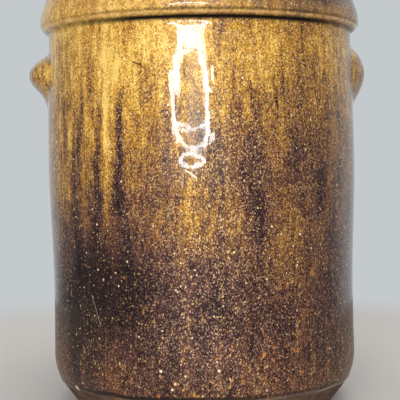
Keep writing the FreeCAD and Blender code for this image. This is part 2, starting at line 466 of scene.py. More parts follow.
def buildGlaze():
    material, tree, shader = newMaterial("speckledGlaze")
    x, y, z = splitXyz(tree, tree.nodes.new("ShaderNodeTexCoord").outputs["Object"])
    tone, streaky, bare, edge, roll, creaseShade, lipThinAndSheen, paintedGlints = [
        attributeFlow(tree, name)
        for name in ("tone", "streaky", "bare", "glazeEdge", "glazeRoll", "creaseShade", "lipThinAndSheen", "paintedGlints")]
    amounts, ramps = glazeAmounts, glazeRamps

    # runs of glaze: noise drawn out downwards, a little bent on the way
    sway = layerOn(tree, "sway", x, y, z) - 0.5
    swayedX, swayedY = x + sway * amounts["sway"][0], y + sway * amounts["sway"][1]
    wide = layerOn(tree, "wide", swayedX, swayedY, z) - 0.5
    narrow = layerOn(tree, "narrow", swayedX, swayedY, z) - 0.5
    hairs, cloud, sand, mottle = [layerOn(tree, name, x, y, z) - 0.5
                                  for name in ("hairs", "cloud", "sand", "mottle")]
    runs = wide * streaky.line(*amounts["wide"]) + narrow * streaky.line(*amounts["narrow"])
    runs = runs + hairs * amounts["hairs"]

    # crystals and speckle, from sand up to grains of a millimetre
    cellSpace = joinXyz(tree, x, y, z * glaze["cellSquash"])
    finePick = cellsOn(tree, cellSpace, glaze["fineCell"])[1]
    grainDots, grainPick = cellsOn(tree, cellSpace, glaze["grainCell"])
    speckDots, speckPick = cellsOn(tree, cellSpace, glaze["speckCell"])

    speckle = sand * amounts["sand"] + (finePick[0] - 0.5) * amounts["fineCells"]
    unrest = tone.ramp(*ramps["calmDark"]) * tone.ramp(*ramps["calmPale"])
    level = tone + (runs + cloud * amounts["cloud"] + mottle * amounts["mottle"] + speckle) * unrest
    colour = colourRamp(tree, level, glaze["tones"])
    # pale bands on the collar's edges: thinned glaze, with a painted highlight and a painted floor reflection
    lipThinAndSheenTone = lipThinAndSheen * layerOn(tree, "lipThinAndSheen", x, y, z).ramp(*ramps["lipThinAndSheen"])
    colour = tintWith(tree, lipThinAndSheenTone, colour, "lipThinAndSheenColour")

    # single crystals: most of them dull, a few painted bright as glints, thicker where the map puts them at
    # the front facing the lamps
    glint = finePick[1].ramp(*ramps["glint"], smooth=False)
    gathered = cloud * amounts["gathered"] + mottle * amounts["gathered"] + 1.0
    gathered = gathered.calc("MAXIMUM", amounts["scattered"])
    lit = paintedGlints * gathered * amounts["paintedGlints"] + tone * amounts["paintedGlintsInGold"]
    glint = glint * glint * lit.calc("MINIMUM", 1.0)
    # the glints' colour: pale and gold crystal, painted bright as highlight
    glintColour = mixColours(tree, finePick[2], srgb(*glaze["goldGrain"]), srgb(*glaze["paleGrain"]))
    glintColour = tintWith(tree, tone.ramp(*ramps["rose"]), glintColour, "roseGrain")
    colour = mixColours(tree, glint, colour, glintColour)
    grainForm = (grainPick[2].line(*amounts["grainSize"]) - grainDots).ramp(*ramps["grainEdge"])
    grains = grainForm * grainPick[1].ramp(*ramps["grainPick"])
    colour = tintWith(tree, grains * tone.line(*amounts["grains"]), colour, "goldGrain")
    pits = grainForm * grainPick[0].ramp(*ramps["pitPick"]) * tone.ramp(*ramps["pitTone"])
    colour = tintWith(tree, pits, colour, "darkGrain")
    pale = (speckPick[1].line(*amounts["speckSize"]) - speckDots).ramp(*ramps["speckEdge"])
    pale = pale * speckPick[0].ramp(*ramps["speckPick"])
    colour = tintWith(tree, pale * amounts["specks"], colour, "paleGrain")
    chips = layerOn(tree, "chips", x, y, z).ramp(*ramps["chips"])
    colour = tintWith(tree, chips * z.ramp(*ramps["chipHeight"]), colour, "chipColour")
    # painted shade in the crease under the collar, and a painted dark reflection in the thin band above it
    colour = tintWith(tree, creaseShade, colour, "creaseShadeColour")
    colour = tintWith(tree, roll.ramp(*ramps["roll"]) * x.ramp(*ramps["rollSide"]), colour, "rollColour")

    front = y.calc("LESS_THAN", 0.0)
    for ends, width, strength, markColour in glaze["marks"]:
        mark = 1.0 - nearLine(x, z, *ends).ramp(width * glaze["markCore"], width)
        colour = mixColours(tree, mark * front * strength, colour, srgb(*markColour))

    # bare clay below the dip line, with the glaze edge thin and pale
    clayMix = layerOn(tree, "clay", x, y, z).ramp(*ramps["clay"])
    clay = mixColours(tree, clayMix, srgb(*glaze["bareClayDark"]), srgb(*glaze["bareClay"]))
    colour = mixColours(tree, bare, colour, clay)
    colour = tintWith(tree, edge * amounts["edge"], colour, "lineColour")

    glossy = 1.0 - bare
    dull = (bare + creaseShade).calc("MINIMUM", 1.0)
    feedAll(tree, shader, {
        "Base Color": colour,
        "IOR": glaze["ior"],
        "Specular IOR Level": glaze["specular"],
        "Coat IOR": glaze["ior"],
        "Coat Roughness": glaze["coatRoughness"],
        "Coat Weight": glossy * (1.0 - creaseShade * glaze["creaseShadeDulls"]),
        "Metallic": glossy * (1.0 - creaseShade) * glaze["flake"],
        "Roughness": dull * glaze["rougher"] + glaze["roughness"]})

    # a faint orange peel, with grit below the gloss and pimples in it
    skin = bumpOn(tree, "skinBump", layerOn(tree, "peel", x, y, z))
    grit = bumpOn(tree, "gritBump", finePick[0] * amounts["grit"] - grainDots)
    pimples = bumpOn(tree, "pimpleBump", grains + pale + glint)
    for bump, target in ((grit, "Normal"), (pimples, "Coat Normal")):
        feed(tree, bump.inputs["Normal"], skin.outputs[0])
        feed(tree, shader.inputs[target], bump.outputs[0])
    return material


speckledGlaze = buildGlaze()
print("glaze mixed")


# the jar, turned on its upright axis

jarSizes = {
    "Columns": 384,
    "Crowding": 0.06,  # columns closer together at the ears
    "Lean": 0.0060,  # the pot stands a little out of true
    "Lean Level": 0.146,
    "Dent Height": 0.00010,
    "Dent Size": 0.040,
    "Peel Height": 0.000020,
    "Peel Size": 0.0065,
    "Run Height": 0.00006,
    "Run Size": 0.0060,
    "Ring Height": 0.000012,
    "Inner Ring Height": 0.00030,
    "Glaze Thickness": 0.00030,
    "Dip Height": 0.0144,
    "Dip Front": 0.0050,
    "Dip Side": 0.0002,
    "Ear Axis": 0.060,
    "Left Ear Reach": 0.0955,
    "Left Ear Low": 0.1590,
    "Left Ear High": 0.1958,
    "Right Ear Reach": 0.0920,
    "Right Ear Low": 0.1600,
    "Right Ear High": 0.2000,
    "Ear Root": 0.0032,
    "Seed": 4,
}

# where things on the jar start and end, in metres unless said otherwise
jarMarks = {
    "earsFrom": (0.150, 0.158),
    "earsTo": (0.2030, 0.2050, 1.0, 0.0),
    "earInset": 0.0012,  # an ear's root starts this far inside the wall
    "seam": 2e-6,
    "nudge": 1e-5,  # keeps whole numbers whole when index is divided by rows
    "leastWall": 0.001,
    "riseScale": 100.0,  # how far the ears stand out is kept in centimetres
    "insideFrom": (0.0075, 0.0095),  # above the underside it is the glazed inside
    "dipWobble": 0.0022,
    "dipEdge": (-0.0004, 0.0005),
    "paleEdge": (0.0003, 0.0008),  # height over the dip line and half width
    "roll": (0.0016, 0.0024),
    "rollHeight": 0.00022,
    "flatFoot": (0.0003, 0.0030),
    "edgeRound": (0.20, 0.60, 0.10, 1.0),  # the pale edge is full on the right only
}

# squeeze across, squeeze upwards, width of a blotch or its size above, detail, roughness, seed step
jarNoise = {
    "wobble": (1.0, 0.0, 0.018, 2.0, 0.5, 20.0),
    "run": (1.0, 0.055, "Run Size", 2.0, 0.5, 1.0),
    "dent": (1.0, 1.0, "Dent Size", 1.0, 0.4, 2.0),
    "peel": (1.0, 0.7, "Peel Size", 2.0, 0.5, 3.0),
    "rings": (0.04, 1.0, 0.0065, 1.0, 0.5, 4.0),
}

# how far each ear stands out, from its lower root to its top
earOutlines = {
    "Left": ((0.0, 0.0), (0.10, 0.10), (0.22, 0.22), (0.34, 0.38), (0.45, 0.64), (0.54, 0.88),
             (0.65, 1.0), (0.74, 0.96), (0.83, 0.78), (0.92, 0.46), (1.0, 0.0)),
    "Right": ((0.0, 0.0), (0.12, 0.14), (0.24, 0.46), (0.36, 0.74), (0.48, 0.94), (0.58, 1.0),
              (0.70, 0.91), (0.82, 0.68), (0.92, 0.32), (1.0, 0.0)),
}


def earRadius(tree, label, sizes, cosine, sine, wall, z):
    # an ear is turned on an upright axis of its own, inside the wall
    low, high = sizes[label + " Ear Low"], sizes[label + " Ear High"]
    up = (z - low) / (high - low)
    curve = addNode(tree, "ShaderNodeFloatCurve", {"Value": up.clamped()})
    points = curve.mapping.curves[0].points
    knots = earOutlines[label]
    while len(points) < len(knots):
        points.new(0.5, 0.5)
    for point, (place, reach) in zip(points, knots):
        point.location = place, reach
    curve.mapping.update()
    axis = sizes["Ear Axis"]
    inner = wall - axis - jarMarks["earInset"]
    turned = inner + (sizes[label + " Ear Reach"] - axis - inner) * Flow(tree, curve.outputs[0])
    across = axis * sine
    root = (turned * turned - across * across).calc("MAXIMUM", 0.0).calc("SQRT")
    return cosine * (-1.0 if label == "Left" else 1.0) * axis + root


def turnJar():
    tree, profile, sizes = newModifierTree("turnedJar", jarSizes)
    rows = flowOf(tree, "GeometryNodeAttributeDomainSize", "Point Count", {0: profile}, component="MESH")
    columns = sizes["Columns"]
    grid = addNode(tree, "GeometryNodeMeshGrid", {"Size X": 1.0, "Size Y": 1.0,
                                                  "Vertices X": columns + 1, "Vertices Y": rows})
    index = flowOf(tree, "GeometryNodeInputIndex")
    row = index.calc("FLOORED_MODULO", rows)
    column = (index / rows + jarMarks["nudge"]).calc("FLOOR")
    position = flowOf(tree, "GeometryNodeInputPosition")
    sampled = addNode(tree, "GeometryNodeSampleIndex", {0: profile, "Index": row, "Value": position},
                      data_type="FLOAT_VECTOR", domain="POINT")
    sampledPlace = splitXyz(tree, sampled.outputs[0])
    radius, z = sampledPlace[0], sampledPlace[2]

    share = column / columns
    turn = share * (2 * math.pi)
    angle = turn + math.pi / 2 + (turn * 2.0).calc("SINE") * sizes["Crowding"]
    cosine, sine = angle.calc("COSINE"), angle.calc("SINE")

    outside = row.calc("LESS_THAN", rimRow + 0.5) * row.calc("GREATER_THAN", potSteps["underside"] + 0.5)
    ears = outside * z.ramp(*jarMarks["earsFrom"]) * z.ramp(*jarMarks["earsTo"])
    wide = radius
    for label in ("Left", "Right"):
        ear = earRadius(tree, label, sizes, cosine, sine, radius, z)
        wide = wide.calc("SMOOTH_MAX", ear, sizes["Ear Root"])
    # away from the ears the rounded maximum has to be the plain wall
    body = radius + (wide - radius) * ears
    leanShift = sizes["Lean"] * (z - sizes["Lean Level"])
    position = joinXyz(tree, body * cosine - leanShift, body * sine, z)
    placed = addNode(tree, "GeometryNodeSetPosition", {0: grid.outputs[0], "Position": position})
    marked = storeMark(tree, placed.outputs[0], "outside", outside)
    marked = storeMark(tree, marked, "earRise", (body - radius) * jarMarks["riseScale"])
    merged = addNode(tree, "GeometryNodeMergeByDistance", {0: marked, "Distance": jarMarks["seam"]})
    finishTree(tree, addRelief(tree, merged.outputs[0], sizes), speckledGlaze)
    return tree


def storeMark(tree, geometry, name, value, domain="POINT"):
    return addNode(tree, "GeometryNodeStoreNamedAttribute", {0: geometry, "Name": name, "Value": value},
                   data_type="FLOAT", domain=domain).outputs[0]


def readMark(tree, name):
    return flowOf(tree, "GeometryNodeInputNamedAttribute", "Attribute", {"Name": name}, data_type="FLOAT")


def reliefOn(tree, name, sizes, x, y, z):
    across, upwards, size, detail, roughness, seedStep = jarNoise[name]
    place = joinXyz(tree, x * across, y * across, z * upwards)
    return noiseOn(tree, place, sizes.get(size, size), detail, roughness, sizes["Seed"] + seedStep) - 0.5


def addRelief(tree, geometry, sizes):
    x, y, z = splitXyz(tree, flowOf(tree, "GeometryNodeInputPosition"))
    outside = readMark(tree, "outside")
    wall = lengthOf(x, y).calc("MAXIMUM", jarMarks["leastWall"])
    cosine, sine = x / wall, y / wall
    wobble, run, dent, peel, rings = [reliefOn(tree, name, sizes, x, y, z) for name in jarNoise]

    dip = sizes["Dip Height"] - sine * sizes["Dip Front"] + cosine * sizes["Dip Side"]
    overDip = z - (dip + wobble * jarMarks["dipWobble"])
    inside = (1.0 - outside) * z.ramp(*jarMarks["insideFrom"])
    glazed = (overDip.ramp(*jarMarks["dipEdge"]) * outside + inside).calc("MINIMUM", 1.0)
    edge = overDip.hill(*jarMarks["paleEdge"]) * outside
    roll = overDip.hill(*jarMarks["roll"]) * outside

    # noise runs half a step either way, so twice it makes each height the most a crest can rise
    lift = outside * (dent * sizes["Dent Height"] * 2.0 + rings * sizes["Ring Height"] * 2.0)
    lift = lift + inside * rings * sizes["Inner Ring Height"] * 2.0
    lift = lift + glazed * (peel * sizes["Peel Height"] * 2.0 + run * 2.0 * sizes["Run Height"])
    lift = lift + roll * jarMarks["rollHeight"] - (1.0 - glazed) * sizes["Glaze Thickness"]
    lift = lift * z.ramp(*jarMarks["flatFoot"])
    normal = flowOf(tree, "GeometryNodeInputNormal")
    offset = addNode(tree, "ShaderNodeVectorMath", {0: normal, "Scale": lift}, operation="SCALE")
    thin = edge * cosine.ramp(*jarMarks["edgeRound"])
    for name, value in (("bare", 1.0 - glazed), ("glazeEdge", thin), ("glazeRoll", roll)):
        geometry = storeMark(tree, geometry, name, value)
    moved = addNode(tree, "GeometryNodeSetPosition", {0: geometry, "Offset": offset.outputs[0]})
    smooth = addNode(tree, "GeometryNodeSetShadeSmooth", {0: moved.outputs[0]})
    return smooth.outputs[0]


profileLine = meshObject("potProfile", [(r, 0.0, h) for r, h in outline],
                         edges=[(k, k + 1) for k in range(len(outline) - 1)])
glazedJar = growPiece("glazedJar", profileLine, turnJar(), jarSizes)
bpy.data.objects.remove(profileLine)
print("jar turned:", len(glazedJar.data.polygons), "faces")


# where the glaze is gold and where it is dark, with the painted glints, the painted sheen on the collar's
# edges and the painted crease shade

toneMap = {
    "fade": ((0.000, 0.25), (0.030, 0.24), (0.052, 0.19), (0.080, 0.26), (0.105, 0.37),
             (0.140, 0.46), (0.170, 0.62), (0.190, 0.76), (0.205, 0.78), (0.231, 0.62)),
    # angle round the jar, height, half width, half height, how much lighter or darker
    "patches": (
        (-118, 0.073, 20, 0.024, -0.20), (-135, 0.090, 12, 0.035, -0.16), (-150, 0.060, 14, 0.050, -0.12),
        (-52, 0.170, 18, 0.060, -0.14), (-30, 0.130, 18, 0.080, -0.10), (-79, 0.103, 5, 0.018, 0.06),
        (-92, 0.110, 8, 0.030, 0.08), (-110, 0.190, 22, 0.022, 0.05), (-66, 0.188, 8, 0.022, 0.16),
        (-104, 0.158, 8, 0.036, -0.20), (-76, 0.138, 10, 0.034, -0.16), (-142, 0.134, 12, 0.028, 0.20),
        (-78, 0.192, 9, 0.018, -0.10), (-121, 0.093, 7, 0.013, 0.07), (-145, 0.196, 12, 0.014, -0.08),
        (-70, 0.087, 5, 0.013, 0.10), (-38, 0.046, 12, 0.030, 0.05), (-68, 0.200, 12, 0.012, -0.08),
        (-58, 0.182, 16, 0.018, -0.10), (-70, 0.126, 15, 0.028, -0.06), (-113, 0.114, 6, 0.010, -0.09),
        (-64, 0.220, 34, 0.012, -0.22), (180, 0.178, 12, 0.020, -0.24), (0, 0.181, 12, 0.022, -0.38),
        (-57, 0.085, 7, 0.030, 0.10), (-122, 0.138, 6, 0.014, 0.08), (-130, 0.163, 5, 0.010, -0.10),
        (-78, 0.080, 14, 0.030, -0.07), (-140, 0.218, 35, 0.012, 0.10), (-40, 0.218, 45, 0.012, -0.34)),
    # runs of glaze: angle and height where each starts and ends, half width, how much lighter or darker
    "runs": ((-117.5, 0.186, -121.0, 0.164, 4.0, 0.19), (-123.0, 0.160, -123.3, 0.142, 2.6, 0.12),
             (-123.3, 0.142, -123.5, 0.118, 1.8, 0.16), (-112.3, 0.182, -112.3, 0.166, 2.2, 0.12),
             (-115.6, 0.196, -115.8, 0.172, 1.2, -0.10), (-118.4, 0.160, -118.6, 0.118, 1.7, -0.30),
             (-118.6, 0.118, -117.0, 0.085, 3.0, -0.16), (-126.8, 0.160, -127.0, 0.120, 1.3, -0.26),
             (-135.6, 0.170, -136.4, 0.130, 1.5, -0.26), (-144.0, 0.162, -145.0, 0.138, 1.6, -0.22),
             (-139.0, 0.150, -139.6, 0.125, 1.2, -0.18), (-131.0, 0.182, -132.6, 0.168, 1.2, -0.16),
             (-133.4, 0.170, -133.6, 0.148, 1.3, 0.12), (-130.0, 0.154, -130.2, 0.130, 1.4, 0.14),
             (-125.5, 0.186, -128.0, 0.166, 1.3, 0.14), (-140.6, 0.178, -141.0, 0.146, 1.5, 0.12),
             (-131.0, 0.128, -129.0, 0.090, 2.4, -0.14), (-139.0, 0.124, -138.0, 0.080, 2.2, -0.12),
             (-70.6, 0.114, -71.0, 0.099, 2.4, -0.13), (-46.5, 0.130, -46.5, 0.112, 3.0, -0.18),
             (-57.0, 0.140, -57.5, 0.130, 2.2, -0.14), (-84.0, 0.130, -84.5, 0.100, 1.5, -0.08),
             (-100.5, 0.130, -101.0, 0.090, 1.6, -0.08), (-66.0, 0.198, -66.5, 0.172, 1.8, 0.10),
             (-73.0, 0.198, -73.0, 0.180, 1.6, 0.10), (-62.5, 0.190, -62.0, 0.168, 1.2, -0.10),
             (-143.5, 0.062, -143.5, 0.026, 3.4, -0.14)),
    # how thick the painted glints on the crystals lie; the front patches face the lamps
    "paintedGlints": ((0, 0.115, 400, 0.300, 0.10), (-86, 0.070, 16, 0.050, 0.20), (-86, 0.150, 30, 0.060, 0.16),
               (90, 0.080, 50, 0.060, 0.18), (-124, 0.085, 14, 0.030, -0.06)),
    "streaks": ((-130, 0.155, 28, 0.050, 1.0), (60, 0.120, 40, 0.060, 0.8), (170, 0.150, 30, 0.060, 0.7)),
    "blobWaver": 4,  # how far the patches' edges waver, in degrees
    "runWaver": 1.2,
    "runEnd": 0.006,  # a run fades out over this height
    "seed": 11,
    # stray patches in unplanned places, each number drawn between two ends
    "strays": 26,
    "strayRanges": ((0, 180), (0.02, 0.20), (5, 14), (0.015, 0.05), (-0.22, 0.20)),
    # slanting waves that make edges waver: turns round the jar, slant and start
    "waves": 5,
    "waveTurns": (3, 14),
    "waveSlant": (30, 160),
    "waveStart": (0, 6.28),
}
# rings round the jar: height, half height, strength
bands = {
    # pale bands on the collar's edges and rim: thinned glaze with a painted highlight and painted floor
    # reflection
    "lipThinAndSheen": ((0.2076, 0.0007, 0.9), (0.2118, 0.0035, 0.35), (0.2300, 0.0022, 0.5)),
    # painted shade in the crease under the collar, and a painted dark reflection in a thin band above the
    # pale line of the collar's lower edge
    "creaseShade": ((0.2055, 0.0011, 1.2), (0.2089, 0.0006, 0.65)),
}
# how much of the painted crease shade is left at each angle round the jar
creaseShadeRound = ((-180, 0.20), (-145, 0.38), (-128, 0.72), (-112, 1.0), (-50, 1.0),
             (-25, 0.55), (60, 0.8), (130, 0.6), (180, 0.20))


def readValues(mesh, name):
    values = np.empty(len(mesh.vertices), np.float32)
    mesh.attributes[name].data.foreach_get("value", values)
    return values


def writeValues(mesh, name, values):
    marks = mesh.attributes.new(name, "FLOAT", "POINT")
    marks.data.foreach_set("value", values.astype(np.float32))


def nearestTurn(turn):
    return (turn + 180) % 360 - 180


def addBlobs(total, blobs, around, height, waver):
    for angle, level, halfWidth, halfHeight, amount in blobs:
        across = (nearestTurn(around - angle) + toneMap["blobWaver"] * waver) / halfWidth
        total += amount * np.exp(-(across ** 2 + ((height - level) / halfHeight) ** 2))
    return total


def addRuns(total, runs, around, height, waver):
    # streaks that end softly, from their top to their bottom
    for topAngle, top, lowAngle, low, halfWidth, amount in runs:
        share = np.clip((top - height) / (top - low), 0.0, 1.0)
        overrun = np.maximum(height - top, 0.0) + np.maximum(low - height, 0.0)
        turn = nearestTurn(around - topAngle - (lowAngle - topAngle) * share)
        across = (turn + toneMap["runWaver"] * waver) / halfWidth
        total += amount * np.exp(-(across ** 2 + (overrun / toneMap["runEnd"]) ** 2))
    return total


def paintTones(mesh):
    count = len(mesh.vertices)
    places = np.empty(count * 3)
    mesh.vertices.foreach_get("co", places)
    places = places.reshape(-1, 3)
    around = np.degrees(np.arctan2(places[:, 1], places[:, 0]))
    height = places[:, 2]
    outside = readValues(mesh, "outside")
    rng = np.random.default_rng(toneMap["seed"])
    strays = [[rng.uniform(*ends) for ends in toneMap["strayRanges"]] for _ in range(toneMap["strays"])]
    waver = np.zeros(count)
    for _ in range(toneMap["waves"]):
        turns = rng.integers(*toneMap["waveTurns"])
        slant, start = rng.uniform(*toneMap["waveSlant"]), rng.uniform(*toneMap["waveStart"])
        waver += np.sin(np.radians(around) * turns + height * slant + start) / toneMap["waves"]
    tone = np.interp(height, *zip(*toneMap["fade"]))
    tone = addBlobs(tone, list(toneMap["patches"]) + strays, around, height, waver)
    writeValues(mesh, "tone", addRuns(tone, toneMap["runs"], around, height, waver))
    for name, blobs in (("paintedGlints", toneMap["paintedGlints"]), ("streaky", toneMap["streaks"])):
        writeValues(mesh, name, addBlobs(np.zeros(count), blobs, around, height, waver))
    shares = {"lipThinAndSheen": 1.0, "creaseShade": np.interp(around, *zip(*creaseShadeRound))}
    for name, rings in bands.items():
        total = np.zeros(count)
        for level, halfHeight, amount in rings:
            total += amount * np.exp(-((height - level) / halfHeight) ** 2)
        writeValues(mesh, name, np.minimum(total, 1.0) * shares[name] * outside)


paintTones(glazedJar.data)
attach(glazedJar, "root")
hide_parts("jar")
print("tones laid")


# crystals standing in the glaze: fine ones scattered everywhere, coarse ones one by one

fineGrains = {
    "Per Square Metre": 9500.0,
    "Smallest": 0.00010,
    "Largest": 0.00030,
    "Flatness": 0.55,
    "Lowest": 0.0215,
    "Highest": 0.2025,
    "Seed": 7,
}
coarseGrains = {
    "Smallest": 0.00030,
    "Largest": 0.00085,
    "Flatness": 0.50,
    "Seed": 3,
}
# angle round the jar, height and radius of each coarse one
coarsePlaces = (
    (-128.3, 0.1057, 0.00062), (-139.3, 0.1087, 0.00034), (-134.3, 0.0908, 0.00038),
    (-115.8, 0.0930, 0.00034), (-121.0, 0.0821, 0.00048), (-99.5, 0.0927, 0.00042), (-92.8, 0.0846, 0.00046),
    (-98.6, 0.0740, 0.00044), (-96.9, 0.0616, 0.00040), (-104.2, 0.0548, 0.00038), (-103.9, 0.0514, 0.00038),
    (-93.7, 0.0682, 0.00042), (-86.1, 0.0399, 0.00050), (-71.7, 0.1140, 0.00046), (-55.5, 0.1001, 0.00060),
    (-58.4, 0.0945, 0.00044), (-67.6, 0.0894, 0.00042), (-56.3, 0.0863, 0.00042), (-76.0, 0.0778, 0.00044),
    (-71.5, 0.0701, 0.00042), (-76.2, 0.1763, 0.00058), (-75.7, 0.1734, 0.00042), (-65.2, 0.1640, 0.00034),
    (-41.3, 0.1866, 0.00034), (-100.0, 0.0290, 0.00085), (-101.0, 0.0262, 0.00070), (-104.8, 0.0350, 0.00080),
    (-85.5, 0.0355, 0.00080), (-96.5, 0.0330, 0.00060), (52.0, 0.1210, 0.00050), (98.0, 0.0930, 0.00046),
    (131.0, 0.1480, 0.00040), (23.0, 0.0700, 0.00048), (160.0, 0.0880, 0.00044), (75.0, 0.1660, 0.00042))
# what fine and coarse ones share
crystal = {
    "tones": ((0.0, (120, 74, 34)), (0.35, (206, 148, 62)), (0.7, (250, 208, 124)), (1.0, (255, 240, 208))),
    "blotch": (0.0006, 2.0, 0.6, 2.5),  # width, detail, roughness and seed
    "blotchAmount": 0.5,
    "roughness": 0.28,
    "coatRoughness": 0.05,
    "segments": 8,
    "rings": 5,
    "fineSparkle": (0.15, 1.0),
    "coarseSparkle": (0.72, 1.0),
    "offTheEars": 0.01,  # no fine ones where an ear stands out more than this, in centimetres
    "faceShare": 0.9,  # a face takes part when this much of it is clear
}


def buildCrystal():
    material, tree, shader = newMaterial("glazeCrystal")
    place = tree.nodes.new("ShaderNodeTexCoord").outputs["Object"]
    sparkle = attributeFlow(tree, "sparkle")
    blotch = noiseOn(tree, place, *crystal["blotch"]) - 0.5
    colour = colourRamp(tree, sparkle + blotch * crystal["blotchAmount"], crystal["tones"])
    feedAll(tree, shader, {"Base Color": colour, "Roughness": crystal["roughness"], "Coat Weight": 1.0,
                           "Coat Roughness": crystal["coatRoughness"]})
    return material


def placeGrains(tree, points, rotation, sizes, radius, sparkle):
    # a lens of glaze: a low round form flattened against the wall
    lens = addNode(tree, "GeometryNodeMeshUVSphere",
                   {"Segments": crystal["segments"], "Rings": crystal["rings"], "Radius": 1.0})
    grown = addNode(tree, "GeometryNodeInstanceOnPoints",
                    {"Points": points, "Instance": lens.outputs[0], "Rotation": rotation,
                     "Scale": joinXyz(tree, radius, radius, radius * sizes["Flatness"])})
    marked = storeMark(tree, grown.outputs[0], "sparkle", sparkle, "INSTANCE")
    realized = addNode(tree, "GeometryNodeRealizeInstances", {0: marked})
    smooth = addNode(tree, "GeometryNodeSetShadeSmooth", {0: realized.outputs[0]})
    finishTree(tree, smooth.outputs[0], glazeCrystal)
    return tree


def chance(tree, low, high, seed):
    made = addNode(tree, "FunctionNodeRandomValue", data_type="FLOAT")
    for name, value in (("Min", low), ("Max", high), ("Seed", seed)):
        feed(tree, next(s for s in made.inputs if s.name == name and s.enabled), value)
    return Flow(tree, next(s for s in made.outputs if s.enabled))


def scatterFine():
    tree, wall, sizes = newModifierTree("fineGrains", fineGrains)
    height = splitXyz(tree, flowOf(tree, "GeometryNodeInputPosition"))[2]
    offTheEars = readMark(tree, "earRise").calc("LESS_THAN", crystal["offTheEars"])
    clear = readMark(tree, "outside") * (1.0 - readMark(tree, "bare")) * offTheEars
    chosen = clear * height.calc("GREATER_THAN", sizes["Lowest"]) * height.calc("LESS_THAN", sizes["Highest"])
    scatter = addNode(tree, "GeometryNodeDistributePointsOnFaces", {
        "Mesh": wall, "Seed": sizes["Seed"], "Density": sizes["Per Square Metre"],
        "Selection": chosen.calc("GREATER_THAN", crystal["faceShare"])})
    dice = chance(tree, 0.0, 1.0, sizes["Seed"] + 1.0)
    radius = sizes["Smallest"] + (sizes["Largest"] - sizes["Smallest"]) * dice * dice * dice
    sparkle = chance(tree, *crystal["fineSparkle"], sizes["Seed"] + 2.0)
    return placeGrains(tree, scatter.outputs["Points"], scatter.outputs["Rotation"], sizes, radius, sparkle)


def placeCoarse():
    tree, places, sizes = newModifierTree("coarseGrains", coarseGrains)
    x, y = splitXyz(tree, flowOf(tree, "GeometryNodeInputPosition"))[:2]
    outwards = joinXyz(tree, x, y, 0.0)
    facing = addNode(tree, "FunctionNodeAlignRotationToVector", {"Vector": outwards}, axis="Z")
    radius = readMark(tree, "size").calc("MAXIMUM", sizes["Smallest"]).calc("MINIMUM", sizes["Largest"])
    sparkle = chance(tree, *crystal["coarseSparkle"], sizes["Seed"] + 2.0)
    dots = addNode(tree, "GeometryNodeMeshToPoints", {"Mesh": places})
    return placeGrains(tree, dots.outputs[0], facing.outputs[0], sizes, radius, sparkle)


glazeCrystal = buildCrystal()
fineGrainPiece = growPiece("fineGrains", glazedJar, scatterFine(), fineGrains)

coarsePoints = []
for angle, level, radius in coarsePlaces:
    reach = smoothRadius(wallKnots, np.array([level]))[0]
    shift = jarSizes["Lean"] * (level - jarSizes["Lean Level"])
    turned = math.radians(angle)
    coarsePoints.append((reach * math.cos(turned) - shift, reach * math.sin(turned), level))
coarseBase = meshObject("coarsePlaces", coarsePoints)
writeValues(coarseBase.data, "size", np.array([radius for angle, level, radius in coarsePlaces]))
coarseGrainPiece = growPiece("coarseGrains", coarseBase, placeCoarse(), coarseGrains)
bpy.data.objects.remove(coarseBase)
for piece in (fineGrainPiece, coarseGrainPiece):
    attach(piece, "root")
    print(piece.name, len(piece.data.polygons), "faces")


# floor, light and camera

studio = {
    "floorColour": (226, 221, 214),
    "floorRoughness": 0.9,
    "floorHalf": 6.0,
    "wallColour": (196, 201, 203),
    "floorReach": (0.26, 0.38),  # the floor fades into the wall between these distances
    "roomInFront": 0.30,  # how bright the room in front is, mirrored in the glaze
    "roomSides": (0.30, 0.72),  # where it turns from dim to full, as a share of straight back
    "roomSlant": 0.18,  # sooner on the right by this much
    "mirroredFloor": (146, 133, 123),
    "tableEdge": (0.34, 0.42),  # the mirrored floor ends between these distances
    "roomLight": (226, 228, 232),
    "roomStrength": 0.55,
    "cameraPlace": (-0.0010, -0.5355, 0.146),
    "pitch": 3.5,
    "roll": 0.62,
    "lens": 85.14,
    "sensor": 36.0,
    "nearest": 0.01,
}


def seenFlows(tree):
    # 1 for what the camera sees straight, and 1 for what it sees mirrored or through glass
    path = tree.nodes.new("ShaderNodeLightPath")
    straight, mirrored, through = [Flow(tree, path.outputs[name])
                                   for name in ("Is Camera Ray", "Is Glossy Ray", "Is Transmission Ray")]
    return straight, mirrored.calc("MAXIMUM", through)


def roomBrightness(towardsX, towardsY):
    # dim in front of the jar, full behind it, a little sooner on its right
    turned = towardsY + towardsX * studio["roomSlant"]
    return turned.ramp(*studio["roomSides"], studio["roomInFront"], 1.0)


